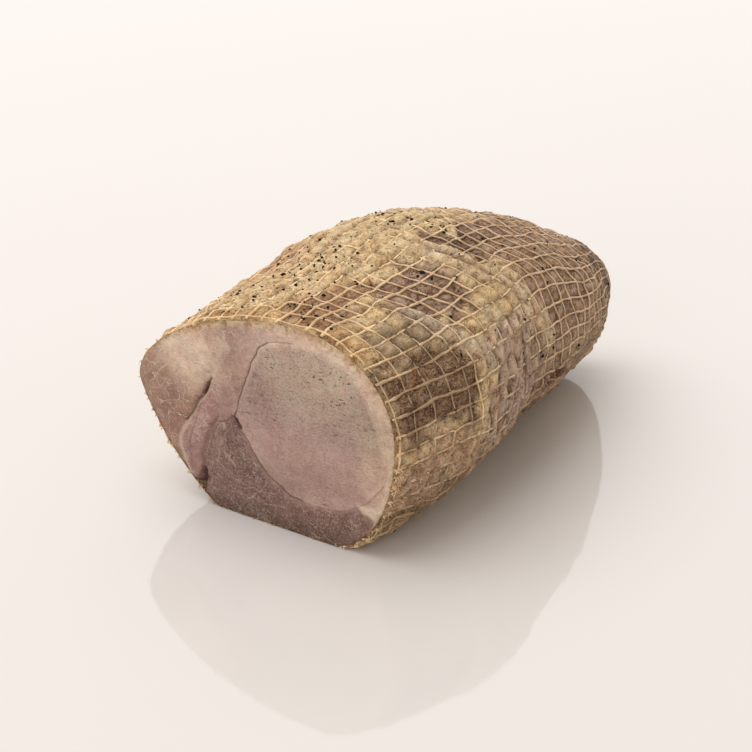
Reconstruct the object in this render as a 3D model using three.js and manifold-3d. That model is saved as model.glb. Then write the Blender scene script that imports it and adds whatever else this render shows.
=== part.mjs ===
// Smoked boneless ham in its cotton net, lying on its side, cut square across at the front.
// Millimetres. The cut looks along -Y, the length runs along +Y and +Z is up.
import * as THREE from 'three';
import { mergeVertices } from 'three/addons/utils/BufferGeometryUtils.js';
import Module from 'manifold-3d';

const wasm = await Module();
wasm.setup();

// Cross-sections from the cut to the far tip, y being the distance from the cut.
// left, top and right are the [x, z] of the outermost points of the section.
// foot is the x range of the underside and base its height over the table.
// bow is how full the four corners are, in the order of the stretches; 2 is an ellipse.
const sections = [
  { y: 0, left: [-91, 66], top: [16, 120.5], right: [79, 67],
    foot: [-37, 36], base: 0, bow: [2.1, 1.75, 1.3, 2] },
  { y: 22, left: [-90, 67], top: [14, 125], right: [85, 68],
    foot: [-38, 38], base: 0, bow: [2.1, 1.75, 1.5, 2] },
  { y: 55, left: [-84, 69], top: [12, 132], right: [91, 68],
    foot: [-37, 36], base: 0, bow: [2.1, 1.8, 1.8, 2] },
  { y: 88, left: [-76, 72], top: [12, 140], right: [91, 70],
    foot: [-32, 23], base: 0, bow: [2.1, 1.95, 1.9, 1.9] },
  { y: 123, left: [-64.5, 74], top: [14.5, 142], right: [87.5, 72],
    foot: [-27.5, 6.5], base: 0, bow: [2.1, 2, 1.9, 1.8] },
  { y: 164.5, left: [-50.5, 69.5], top: [22.5, 132], right: [83, 69.5],
    foot: [-22, 5], base: 0, bow: [2.1, 2, 2, 1.8] },
  { y: 215, left: [-31, 60], top: [30.5, 109.5], right: [73.5, 62],
    foot: [-12, 12], base: 0, bow: [2.1, 2, 2, 1.55] },
  { y: 252.5, left: [-6.5, 52], top: [33, 88], right: [58, 58],
    foot: [6, 22], base: 4, bow: [2.1, 2, 2, 1.6] },
  { y: 273, left: [14.5, 49], top: [34.5, 72.5], right: [47, 56],
    foot: [16, 28], base: 15, bow: [2.1, 2, 2, 1.6] },
  { y: 286, left: [29, 47], top: [33, 56.5], right: [36.5, 51],
    foot: [29, 33], base: 39, bow: [2.1, 2, 2, 2] },
];
const hamLength = 286;

// The fold of fat that sweeps round the middle, further back on the right than on the top.
// It is highest at the share foldFacing of the way round and has run out on the far side.
const foldHeight = 2;
const foldHalfWidth = 12;
const foldAtTop = 90;
const foldSlant = 42;
const foldFacing = 0.12;

// Facets of the body: columns around, and rows from the cut to the tip, which draw closer
// together like the sines of equal steps up to this angle in radians.
const columns = 48;
const rows = 23;
const rowCrowding = 1.35;

// Where the five stretches of a section outline end: top, left, foot, foot, right again.
const stretchEnds = [0.25, 0.5, 0.72, 0.8, 1];

// Net. It is drawn coarser than the real one, which has 48 threads along and 28 rings around.
const threadsAlong = 24;
const rings = 12;
const firstRing = 3;
const lastRing = 274;
const ringCrowding = 0.3;
const ringSlant = 11;
const threadWidth = 1.8;
const threadThickness = 1.1;
const threadCrown = 0.6;
const netGap = 0.8;
const netFloor = 0.1;
const cutEnd = 0.4;
const cutSwell = 4;
const clearance = 0.3;
const grooveReach = 6;

// Seams between the muscles on the cut face, as [x, z] along each seam.
const seamRadius = 0.7;
const seamSink = 0.2;
const seamFacets = 6;
const roundMuscleSeam = [
  [-8, 102], [-15, 88], [-21, 71], [-24, 59], [-16, 45.5], [-5, 31],
  [10.5, 22], [31, 20], [51, 26], [65.5, 37], [74, 53],
];
const leftLobeSeam = [[-32, 96], [-41, 75], [-52, 57], [-62, 38], [-61, 25]];
const lowerMuscleSeam = [[-27, 57], [-38, 53.5], [-44.5, 41], [-51, 23.5]];

// Slits that gape where seams meet: centre [x, z], length, width, depth, tilt in degrees.
const slits = [
  { at: [-43.5, 70], length: 14, width: 2.4, depth: 4, tilt: 58 },
  { at: [-23.5, 56], length: 7, width: 2.2, depth: 4, tilt: -50 },
  { at: [-51, 13], length: 12, width: 4.5, depth: 6, tilt: 62 },
];
const slitNarrowing = 0.55;
const slitFacets = 10;

// Cracked peppercorns, each in a mesh of the net: [ring before it, thread before it].
const pepperRadius = 1.9;
const pepperNarrowness = 0.75;
const pepperFlatness = 0.42;
const pepperLift = 0.5;
const pepperTurn = 1.3;
const pepperMeshes = [
  [0, 3], [0, 4], [0, 6], [0, 7], [1, 5], [1, 7], [2, 4], [2, 6],
  [3, 2], [3, 5], [3, 7], [4, 6], [5, 5], [6, 3], [6, 0], [8, 3],
];

const finishes = {
  ham: { color: '#a88a68', roughness: 0.6 },
  net: { color: '#c9ab7c', roughness: 0.85 },
  pepper: { color: '#2b2724', roughness: 0.75 },
};

// The outside is sampled once a millimetre along and this many times around. Its slope is
// taken between points this far either side, in millimetres along and shares around.
const skinColumns = 192;
const slopeReach = 1.5;
const slopeShare = 0.006;
const weldDistance = 1e-4;

const tau = 2 * Math.PI;

/** Packs one section into the list of numbers that is interpolated along the length. */
function sectionMeasures(s) {
  return [...s.left, ...s.top, ...s.right, ...s.foot, s.base, ...s.bow];
}

const measureCount = sectionMeasures(sections[0]).length;
const measuresAlong = new THREE.CubicInterpolant(
  sections.map((s) => s.y),
  sections.flatMap(sectionMeasures),
  measureCount,
  new Float64Array(measureCount),
);

/** Outline of the ham across its length, from the right side over the top and back. */
class SectionOutline extends THREE.Curve {
  constructor(y) {
    super();
    const m = Array.from(measuresAlong.evaluate(y));
    this.left = { x: m[0], z: m[1] };
    this.top = { x: m[2], z: m[3] };
    this.right = { x: m[4], z: m[5] };
    this.foot = [m[6], m[7]];
    this.base = Math.max(0, m[8]);
    this.bow = m.slice(9);
  }

  getPoint(u, target = new THREE.Vector2()) {
    const { left, top, right, foot, base, bow } = this;
    const [toTop, toLeft, toFoot, alongFoot] = stretchEnds;
    if (u < toTop) {
      return corner(target, top.x, right.z, right.x - top.x, top.z - right.z, bow[0], u / toTop);
    }
    if (u < toLeft) {
      const share = (toLeft - u) / (toLeft - toTop);
      return corner(target, top.x, left.z, left.x - top.x, top.z - left.z, bow[1], share);
    }
    if (u < toFoot) {
      const share = (u - toLeft) / (toFoot - toLeft);
      return corner(target, foot[0], left.z, left.x - foot[0], base - left.z, bow[2], share);
    }
    if (u < alongFoot) {
      const share = (u - toFoot) / (alongFoot - toFoot);
      return target.set(THREE.MathUtils.lerp(foot[0], foot[1], share), base);
    }
    const share = (1 - u) / (1 - alongFoot);
    return corner(target, foot[1], right.z, right.x - foot[1], base - right.z, bow[3], share);
  }
}

/** Point on a quarter of a superellipse, share 0 at the side and 1 at the top or bottom. */
function corner(target, x, z, reachX, reachZ, bow, share) {
  const angle = (share * Math.PI) / 2;
  const along = Math.cos(angle) ** (2 / bow);
  const up = Math.sin(angle) ** (2 / bow);
  return target.set(x + reachX * along, z + reachZ * up);
}

/** How far the fold of fat stands out at a place on the outside. */
function foldAt(y, t) {
  const share = t > 0.5 ? t - 1 : t;
  const middle = foldAtTop + foldSlant * (0.25 - share);
  const facingSide = Math.max(0, Math.cos(tau * (share - foldFacing)));
  return foldHeight * facingSide * Math.exp(-(((y - middle) / foldHalfWidth) ** 2));
}

const skin = [];
for (let y = 0; y <= hamLength; y += 1) {
  const outline = new SectionOutline(y).getSpacedPoints(skinColumns).slice(0, skinColumns);
  const middle = centreOf(outline, new THREE.Vector2());
  skin.push(outline.map((p, i) => raised(p, middle, y, i / skinColumns)));
}

/** Moves an outline point out from the middle of its section by the height of the fold. */
function raised(point, middle, y, t) {
  const out = point.clone().sub(middle).normalize();
  const moved = point.clone().addScaledVector(out, foldAt(y, t));
  return new THREE.Vector3(moved.x, y, Math.max(point.y > 0 ? moved.y : 0, 0));
}

/** Point on the outside at distance y from the cut, share t of the way round; straight before the cut. */
function surfacePoint(y, t) {
  const row = THREE.MathUtils.clamp(y, 0, hamLength);
  const r = Math.min(Math.floor(row), hamLength - 1);
  const column = THREE.MathUtils.euclideanModulo(t, 1) * skinColumns;
  const c = Math.floor(column) % skinColumns;
  const next = (c + 1) % skinColumns;
  const near = skin[r][c].clone().lerp(skin[r][next], column - Math.floor(column));
  const far = skin[r + 1][c].clone().lerp(skin[r + 1][next], column - Math.floor(column));
  const point = near.lerp(far, row - r);
  point.y += Math.min(y, 0);
  return point;
}

/** Outward direction of the outside at a place. */
function surfaceNormal(y, t) {
  const along = surfacePoint(y + slopeReach, t).sub(surfacePoint(y - slopeReach, t));
  const around = surfacePoint(y, t + slopeShare).sub(surfacePoint(y, t - slopeShare));
  return along.cross(around).normalize();
}

/** Length of the outline at distance y from the cut. */
function girth(y) {
  const row = skin[Math.round(THREE.MathUtils.clamp(y, 0, hamLength))];
  return row.reduce((sum, p, i) => sum + p.distanceTo(row[(i + 1) % skinColumns]), 0);
}

/** Solid made from a three.js geometry. */
function toSolid(geometry) {
  const bare = geometry.clone();
  bare.deleteAttribute('normal');
  bare.deleteAttribute('uv');
  const merged = mergeVertices(bare, weldDistance);
  return new wasm.Manifold(new wasm.Mesh({
    numProp: 3,
    vertProperties: new Float32Array(merged.attributes.position.array),
    triVerts: new Uint32Array(merged.index.array),
  }));
}

/** Geometry for three.js made from a solid. */
function toGeometry(solid) {
  const { vertProperties, triVerts } = solid.getMesh();
  return indexedGeometry(vertProperties, triVerts);
}

/** Geometry from vertex coordinates and triangle corners. */
function indexedGeometry(coordinates, corners) {
  const geometry = new THREE.BufferGeometry();
  geometry.setAttribute('position', new THREE.BufferAttribute(new Float32Array(coordinates), 3));
  geometry.setIndex(new THREE.BufferAttribute(new Uint32Array(corners), 1));
  geometry.computeVertexNormals();
  return geometry;
}

/** The bare body: rings of vertices from the cut to the tip, closed flat at both ends. */
function bodyGeometry() {
  const points = [];
  for (let r = 0; r <= rows; r += 1) {
    const y = hamLength * Math.sin((r / rows) * rowCrowding) / Math.sin(rowCrowding);
    for (let c = 0; c < columns; c += 1) {
      points.push(surfacePoint(y, c / columns));
    }
  }
  const front = points.push(centreOf(points.slice(0, columns), new THREE.Vector3())) - 1;
  const back = points.push(centreOf(points.slice(rows * columns, front), new THREE.Vector3())) - 1;
  const corners = [];
  for (let c = 0; c < columns; c += 1) {
    const d = (c + 1) % columns;
    corners.push(front, c, d);
    corners.push(back, rows * columns + d, rows * columns + c);
    for (let r = 0; r < rows; r += 1) {
      const near = r * columns;
      const far = near + columns;
      corners.push(near + c, far + c, far + d);
      corners.push(near + c, far + d, near + d);
    }
  }
  return indexedGeometry(points.flatMap((p) => p.toArray()), corners);
}

/** Middle of a ring of points, kept in target. */
function centreOf(points, target) {
  points.forEach((p) => target.add(p));
  return target.divideScalar(points.length);
}

/** Round-bottomed channel along a seam in the cut face. */
function seamSolid(seam) {
  const path = new THREE.CatmullRomCurve3(seam.map(([x, z]) => new THREE.Vector3(x, seamSink, z)));
  const round = new THREE.Shape().absarc(0, 0, seamRadius, 0, tau, false);
  const steps = 2 * (seam.length - 1);
  return toSolid(new THREE.ExtrudeGeometry(round, { extrudePath: path, steps, curveSegments: seamFacets }));
}

/** Lens-shaped plug for a slit in the cut face. */
function slitSolid({ at, length, width, depth, tilt }) {
  const lens = new THREE.CylinderGeometry(1, slitNarrowing, 2 * depth, slitFacets);
  lens.scale(length / 2, 1, width / 2);
  lens.rotateX(Math.PI);
  lens.rotateY(-THREE.MathUtils.degToRad(tilt));
  lens.translate(at[0], 0, at[1]);
  return toSolid(lens);
}

/** Distance from the cut at which a ring of the net passes, at share t of the way round. */
function ringY(ring, t) {
  const share = ring / (rings - 1);
  const eased = share * (1 + ringCrowding * (1 - share));
  const slant = ringSlant * Math.sin(Math.PI * share) * Math.cos(tau * t);
  return firstRing + (lastRing - firstRing) * eased + slant;
}

/** Lays the net's threads on the outside as one square-meshed body, each swollen by grow. */
class NetMesh {
  constructor(grow) {
    this.grow = grow;
    this.half = threadWidth / 2 + grow;
    this.coordinates = [];
    this.corners = [];
    this.stations = new Map();
  }

  /** Corner of a thread, moved along and around in the surface; height is 0 inside, 1 outside. */
  threadCorner(y, t, alongBy, aroundBy, height) {
    const narrowing = height ? threadCrown : 1;
    const cornerY = y + alongBy * narrowing;
    const cornerT = t + (aroundBy * narrowing) / girth(cornerY);
    const normal = surfaceNormal(cornerY, cornerT);
    const point = surfacePoint(cornerY, cornerT);
    const lowest = point.z + normal.z * (netGap + threadThickness);
    const out = height ? netGap + threadThickness + this.grow : netGap - this.grow;
    point.addScaledVector(normal, out);
    point.z += Math.max(0, netFloor - lowest);
    return point;
  }

  /** Four vertices across a thread, both sides inside then outside; y is the ring's own if left out. */
  station(key, ring, thread, alongBy, aroundBy, y = ringY(ring, thread / threadsAlong)) {
    if (!this.stations.has(key)) {
      const first = this.coordinates.length / 3;
      for (const height of [0, 1]) {
        alongBy.forEach((along, side) => {
          const corner = this.threadCorner(y, thread / threadsAlong, along, aroundBy[side], height);
          this.coordinates.push(...corner.toArray());
        });
      }
      this.stations.set(key, [first, first + 1, first + 2, first + 3]);
    }
    return this.stations.get(key);
  }

  /** Side of a crossing that looks to the cut. */
  nearSide(ring, thread) {
    const { half } = this;
    return this.station(`${ring} ${thread} near`, ring, thread, [-half, -half], [-half, half]);
  }

  /** Side of a crossing that looks to the tip. */
  farSide(ring, thread) {
    const { half } = this;
    return this.station(`${ring} ${thread} far`, ring, thread, [half, half], [-half, half]);
  }

  quad(a, b, c, d) {
    this.corners.push(a, c, b, a, d, c);
  }

  /** Closes a stretch of thread between two stations with its four long walls. */
  walls(p, q) {
    this.quad(p[0], q[0], q[1], p[1]);
    this.quad(p[2], p[3], q[3], q[2]);
    this.quad(p[0], p[2], q[2], q[0]);
    this.quad(p[1], q[1], q[3], p[3]);
  }

  /** Inside and outside of the square where two threads cross. */
  addCrossing(ring, thread) {
    const near = this.nearSide(ring, thread);
    const far = this.farSide(ring, thread);
    this.quad(near[0], far[0], far[1], near[1]);
    this.quad(near[2], near[3], far[3], far[2]);
  }

  /** Stretch of a ring from one lengthwise thread to the next, bent once in the middle. */
  addAroundSpan(ring, thread) {
    const next = (thread + 1) % threadsAlong;
    const [near, far] = [this.nearSide(ring, thread), this.farSide(ring, thread)];
    const key = `${ring} ${thread} middle`;
    const middle = this.station(key, ring, thread + 0.5, [-this.half, this.half], [0, 0]);
    const [nextNear, nextFar] = [this.nearSide(ring, next), this.farSide(ring, next)];
    const bend = [middle[1], middle[0], middle[3], middle[2]];
    this.walls([far[1], near[1], far[3], near[3]], bend);
    this.walls(bend, [nextFar[0], nextNear[0], nextFar[2], nextNear[2]]);
  }

  /** Stretch of a lengthwise thread from one ring to the next, bent once in the middle. */
  addAlongSpan(ring, thread) {
    const key = `${ring} ${thread} halfway`;
    const halfway = this.station(key, ring + 0.5, thread, [0, 0], [-this.half, this.half]);
    this.walls(this.farSide(ring, thread), halfway);
    this.walls(halfway, this.nearSide(ring + 1, thread));
  }

  /** End of a lengthwise thread at the cut, just in front of the first ring. */
  addCutEnd(thread) {
    const y = cutEnd - cutSwell * this.grow;
    const end = this.station(`${thread} end`, 0, thread, [0, 0], [-this.half, this.half], y);
    this.walls(end, this.nearSide(0, thread));
    this.quad(end[0], end[1], end[3], end[2]);
  }

  /** End of a lengthwise thread behind the last ring. */
  addTipEnd(thread) {
    const far = this.farSide(rings - 1, thread);
    this.quad(far[0], far[2], far[3], far[1]);
  }

  geometry() {
    for (let thread = 0; thread < threadsAlong; thread += 1) {
      this.addCutEnd(thread);
      for (let ring = 0; ring < rings; ring += 1) {
        this.addCrossing(ring, thread);
        this.addAroundSpan(ring, thread);
      }
      for (let ring = 0; ring + 1 < rings; ring += 1) {
        this.addAlongSpan(ring, thread);
      }
      this.addTipEnd(thread);
    }
    return indexedGeometry(this.coordinates, this.corners);
  }
}

/** A flat chip of peppercorn lying on the crust. */
function pepperMesh(name, y, t, turn) {
  const chip = new THREE.IcosahedronGeometry(pepperRadius, 0);
  chip.scale(1, pepperNarrowness, pepperFlatness);
  chip.rotateZ(turn);
  const mesh = namedMesh(name, chip, finishes.pepper);
  const normal = surfaceNormal(y, t);
  const height = pepperLift + pepperRadius * pepperFlatness;
  mesh.position.copy(surfacePoint(y, t)).addScaledVector(normal, height);
  mesh.quaternion.setFromUnitVectors(new THREE.Vector3(0, 0, 1), normal);
  return mesh;
}

/** Mesh with a material of its own. */
function namedMesh(name, geometry, finish) {
  const material = new THREE.MeshStandardMaterial({ ...finish, metalness: 0 });
  const mesh = new THREE.Mesh(geometry, material);
  mesh.name = name;
  return mesh;
}

/** Grooves that the threads press into the underside, where the ham's weight lies on them. */
function underGrooves() {
  const slab = new THREE.BoxGeometry(2 * hamLength, 2 * hamLength, 2 * grooveReach);
  slab.translate(0, hamLength / 2, 0);
  return toSolid(new NetMesh(clearance).geometry()).intersect(toSolid(slab));
}

const netSolid = toSolid(new NetMesh(0).geometry());
const cuts = [
  underGrooves(),
  ...[roundMuscleSeam, leftLobeSeam, lowerMuscleSeam].map(seamSolid),
  ...slits.map(slitSolid),
];
const hamSolid = cuts.reduce((solid, cut) => solid.subtract(cut), toSolid(bodyGeometry()));

const ham = new THREE.Group();
ham.name = 'smoked_ham';
ham.add(namedMesh('ham', toGeometry(hamSolid), finishes.ham));
ham.add(namedMesh('net', toGeometry(netSolid), finishes.net));
pepperMeshes.forEach(([ring, thread], i) => {
  const t = (thread + 0.5) / threadsAlong;
  const name = `pepper_${String(i + 1).padStart(2, '0')}`;
  ham.add(pepperMesh(name, ringY(ring + 0.5, t), t, i * pepperTurn));
});

// The origin is on the table, under the middle of the whole.
const middleOfAll = new THREE.Box3().setFromObject(ham).getCenter(new THREE.Vector3());
ham.position.set(-middleOfAll.x, -middleOfAll.y, 0);

const part = new THREE.Group();
part.name = 'part';
part.add(ham);

export default part;
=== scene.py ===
# Boneless smoked ham in its cotton net, cut square across at the front, with cracked pepper on the crust.
# Row frame: metres, +Z up, the cut looks along -Y. Working values are in millimetres.
import math
import random
from functools import partial

import bpy
import numpy as np
from mathutils import Matrix, Vector, kdtree, noise


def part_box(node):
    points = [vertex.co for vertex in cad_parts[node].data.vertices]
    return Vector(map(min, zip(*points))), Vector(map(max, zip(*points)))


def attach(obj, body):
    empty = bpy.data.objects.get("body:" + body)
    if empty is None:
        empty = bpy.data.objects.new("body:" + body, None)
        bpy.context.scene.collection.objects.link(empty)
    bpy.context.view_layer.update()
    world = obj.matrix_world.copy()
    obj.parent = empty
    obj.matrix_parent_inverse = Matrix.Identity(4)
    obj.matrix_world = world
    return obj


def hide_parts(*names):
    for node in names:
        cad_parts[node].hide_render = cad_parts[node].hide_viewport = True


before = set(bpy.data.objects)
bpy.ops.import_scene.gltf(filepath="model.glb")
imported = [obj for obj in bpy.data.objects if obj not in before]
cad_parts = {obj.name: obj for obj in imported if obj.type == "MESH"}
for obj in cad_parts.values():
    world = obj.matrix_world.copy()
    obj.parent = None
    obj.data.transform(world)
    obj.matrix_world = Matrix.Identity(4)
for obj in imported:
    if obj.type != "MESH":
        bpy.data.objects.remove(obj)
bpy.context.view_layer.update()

mm = 0.001
tau = 2 * math.pi
print("frame loaded")


def linear(hexColour):
    channels = [int(hexColour[i:i + 2], 16) / 255 for i in (1, 3, 5)]
    return tuple(c / 12.92 if c <= 0.04045 else ((c + 0.055) / 1.055) ** 2.4 for c in channels)


def smooth(low, high, value):
    share = np.clip((value - low) / (high - low), 0, 1)
    return share * share * (3 - 2 * share)


def tinted(colour, hexColour, share):
    return colour + (np.array(linear(hexColour)) - colour) * share[:, None]


def wrapped(t):
    return (t + 0.5) % 1 - 0.5  # a share of the way round, brought to -0.5..0.5


def lumps(points, size, seed=0):
    shift = Vector((seed * 7.3, seed * 3.1, seed * 5.7))
    return np.array([noise.noise(Vector(p) / size + shift) for p in points])  # -1 to 1, size in mm


def layered(points, layers):
    return sum(lumps(points, size, seed) * height for size, seed, height in layers)


def curveThrough(places, values, at):
    # smooth curve through the rows of values that stand at rising places
    chord = np.diff(values, axis=0) / np.diff(places)[:, None]
    slope = np.vstack([chord[:1], (chord[:-1] + chord[1:]) / 2, chord[-1:]])
    i = np.clip(np.searchsorted(places, at, side="right") - 1, 0, len(places) - 2)
    gap = (places[i + 1] - places[i])[..., None]
    p = (at - places[i])[..., None] / gap
    return ((2 * p ** 3 - 3 * p ** 2 + 1) * values[i] + (p ** 3 - 2 * p ** 2 + p) * gap * slope[i]
            + (3 * p ** 2 - 2 * p ** 3) * values[i + 1] + (p ** 3 - p ** 2) * gap * slope[i + 1])


def walkedAlong(path):
    return np.r_[0, np.cumsum(np.linalg.norm(np.diff(path, axis=0), axis=1))]


def alongPath(path, count):
    # that many places, evenly spaced on a smooth curve through a few points
    path = np.array(path, float)
    steps = walkedAlong(path)
    return curveThrough(steps, path, np.linspace(0, 1, count) * steps[-1])


def fromLine(points, line):
    # distance of each 2-D point from a polyline, and the share along it of the nearest place
    start, end = line[:-1], line[1:]
    along = end - start
    length = np.linalg.norm(along, axis=1)
    begun = np.r_[0, np.cumsum(length)]
    best = np.full(len(points), 1e9)
    where = np.zeros(len(points))
    for a, d, size, before in zip(start, along, length, begun):
        share = np.clip(((points - a) @ d) / (size * size), 0, 1)
        gap = np.linalg.norm(points - a - share[:, None] * d, axis=1)
        nearer = gap < best
        best[nearer] = gap[nearer]
        where[nearer] = (before + share * size)[nearer] / begun[-1]
    return best, where


def insideOf(points, loop):
    # distance in from the edge of a closed outline, negative outside it
    closed = np.vstack([loop, loop[:1]])
    gap, _ = fromLine(points, closed)
    x, z = points.T
    crossings = np.zeros(len(points), int)
    for (x0, z0), (x1, z1) in zip(closed[:-1], closed[1:]):
        if z0 != z1:
            spans = (z >= min(z0, z1)) & (z < max(z0, z1))
            crossings += spans & (x < x0 + (z - z0) * (x1 - x0) / (z1 - z0))
    return np.where(crossings % 2 == 1, gap, -gap)


# The ham's outside, from the cut to the far tip. The sections are set out along the net's own measure, which is
# the distance from the cut as far as the middle; further back the net is stretched and y runs ahead of it.
hamShape = {
    "length": 227.0,    # along the net
    # along the net | y | left x z | top x z | right x z | foot from, to | base | fullness of the four corners
    "sections": [
        (0, 0, -91, 66, 16, 120.5, 79, 67, -37, 36, 0, 2.1, 1.75, 1.3, 2),
        (22, 22, -90, 67, 14, 125, 85, 68, -38, 38, 0, 2.1, 1.75, 1.5, 2),
        (55, 55, -84, 69, 12, 132, 91, 68, -37, 36, 0, 2.1, 1.8, 1.8, 2),
        (88, 88, -76, 72, 12, 140, 91, 70, -32, 23, 0, 2.1, 1.95, 1.9, 1.9),
        (121, 123, -64.5, 74, 14.5, 142, 87.5, 72, -27.5, 6.5, 0, 2.1, 2, 1.9, 1.8),
        (154, 164.5, -50.5, 69.5, 22.5, 132, 83, 69.5, -22, 5, 0, 2.1, 2, 2, 1.8),
        (187, 215, -31, 60, 30.5, 109.5, 73.5, 62, -12, 12, 0, 2.1, 2, 2, 1.55),
        (209, 252.5, -6.5, 52, 33, 88, 58, 58, 6, 22, 4, 2.1, 2, 2, 1.6),
        (220, 273, 14.5, 49, 34.5, 72.5, 47, 56, 16, 28, 15, 2.1, 2, 2, 1.6),
        (227, 286, 29, 47, 33, 56.5, 36.5, 51, 29, 33, 39, 2.1, 2, 2, 2),
    ],
    "foldHeight": 2.0, "foldHalfWidth": 12.0, "foldAtTop": 90.0, "foldSlant": 42.0, "foldFacing": 0.12,
    "girth": 470.0,     # used to turn a share of the way round into millimetres
    "samples": 384,     # points kept round each section
    "tipFade": (205, 226),   # where the lumps die away towards the tip
}
sectionTable = np.array(hamShape["sections"], float)


def outlineAt(y, count):
    section = curveThrough(sectionTable[:, 0], sectionTable[:, 1:], y)
    ahead, leftX, leftZ, topX, topZ, rightX, rightZ, footFrom, footTo, base, *bow = section
    base = max(base, 0)
    turn = np.linspace(0, math.pi / 2, 64)

    def quarter(x, z, reachX, reachZ, fullness):
        return np.c_[x + reachX * np.cos(turn) ** (2 / fullness), z + reachZ * np.sin(turn) ** (2 / fullness)]

    path = np.vstack([
        quarter(topX, rightZ, rightX - topX, topZ - rightZ, bow[0]),
        quarter(topX, leftZ, leftX - topX, topZ - leftZ, bow[1])[::-1],
        quarter(footFrom, leftZ, leftX - footFrom, base - leftZ, bow[2]),
        quarter(footTo, rightZ, rightX - footTo, base - rightZ, bow[3])[::-1],
    ])
    walked = walkedAlong(path)
    stops = np.linspace(0, walked[-1], count, endpoint=False)
    ring = np.c_[np.interp(stops, walked, path[:, 0]), np.interp(stops, walked, path[:, 1])]
    t = wrapped(np.arange(count) / count)
    middle = hamShape["foldAtTop"] + hamShape["foldSlant"] * (0.25 - t)
    facing = np.maximum(0, np.cos(tau * (t - hamShape["foldFacing"])))
    fold = hamShape["foldHeight"] * facing * np.exp(-((y - middle) / hamShape["foldHalfWidth"]) ** 2)
    out = ring - ring.mean(axis=0)
    out /= np.linalg.norm(out, axis=1)[:, None]
    ring += out * fold[:, None]
    ring[:, 1] = np.maximum(ring[:, 1], 0)
    return np.c_[ring[:, 0], np.full(count, ahead), ring[:, 1]]


skin = np.array([outlineAt(y, hamShape["samples"]) for y in range(int(hamShape["length"]) + 1)])
girths = np.linalg.norm(skin - np.roll(skin, 1, axis=1), axis=2).sum(axis=1)
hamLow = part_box("ham")[0]
toRow = np.array([hamLow[0] / mm - skin[..., 0].min(), hamLow[1] / mm, 0])  # where the ham's zero lies, in mm


def onSkin(y, t):
    y, t = np.broadcast_arrays(np.asarray(y, float), np.asarray(t, float))
    row = np.clip(y, 0, hamShape["length"] - 1e-6)
    r = row.astype(int)
    column = (t % 1) * hamShape["samples"]
    c = column.astype(int) % hamShape["samples"]
    d = (c + 1) % hamShape["samples"]
    rest = (column - np.floor(column))[..., None]
    near = skin[r, c] * (1 - rest) + skin[r, d] * rest
    far = skin[r + 1, c] * (1 - rest) + skin[r + 1, d] * rest
    up = (row - r)[..., None]
    return near * (1 - up) + far * up


def skinNormal(y, t):
    y = np.clip(y, 1.5, hamShape["length"] - 1.6)
    along = onSkin(y + 1.5, t) - onSkin(y - 1.5, t)
    around = onSkin(y, t + 0.006) - onSkin(y, t - 0.006)
    out = np.cross(along, around)
    return out / np.linalg.norm(out, axis=-1, keepdims=True)


# How the net lies: threads run lengthwise and rings go round. A place on the outside is given by its distance
# along the net's measure and its share t of the way round, from the right side over the top.
netLayout = {
    "threads": 48, "threadShift": -0.004,
    "rings": 28, "firstRing": 2.5, "ringStep": 7.85,
    "sweep": [(0, 0), (4, 17), (10, 24), (18, 25), (27, 8)],   # how far back a ring is swept on the right side
    "sweepSide": (-0.34, -0.10, 0.08, 0.18),   # where round the ham that starts, is full, fades and ends
    # how far the net has slipped: size of the wander, its seed and its height in mm; held fast at both ends
    "aside": [(30, 31, 2.8), (9, 32, 0.8)], "ahead": [(30, 33, 2.6), (9, 34, 0.7)], "held": (0, 14, 205, 222),
}


def ringY(ring, t):
    at = wrapped(np.asarray(t, float))
    numbers, reach = zip(*netLayout["sweep"])
    start, full, fading, end = netLayout["sweepSide"]
    sideways = smooth(start, full, at) * (1 - smooth(fading, end, at))
    return netLayout["firstRing"] + netLayout["ringStep"] * ring + np.interp(ring, numbers, reach) * sideways


def slipped(y, t):
    # where a place of the even net has slipped to, sideways and lengthwise
    points = onSkin(y, t)
    start, full, fading, end = netLayout["held"]
    held = smooth(start, full, y) * (1 - smooth(fading, end, y))
    aside, ahead = (layered(points, netLayout[way]) * held for way in ("aside", "ahead"))
    return y + ahead, t + aside / np.interp(y, np.arange(len(girths)), girths)


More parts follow.
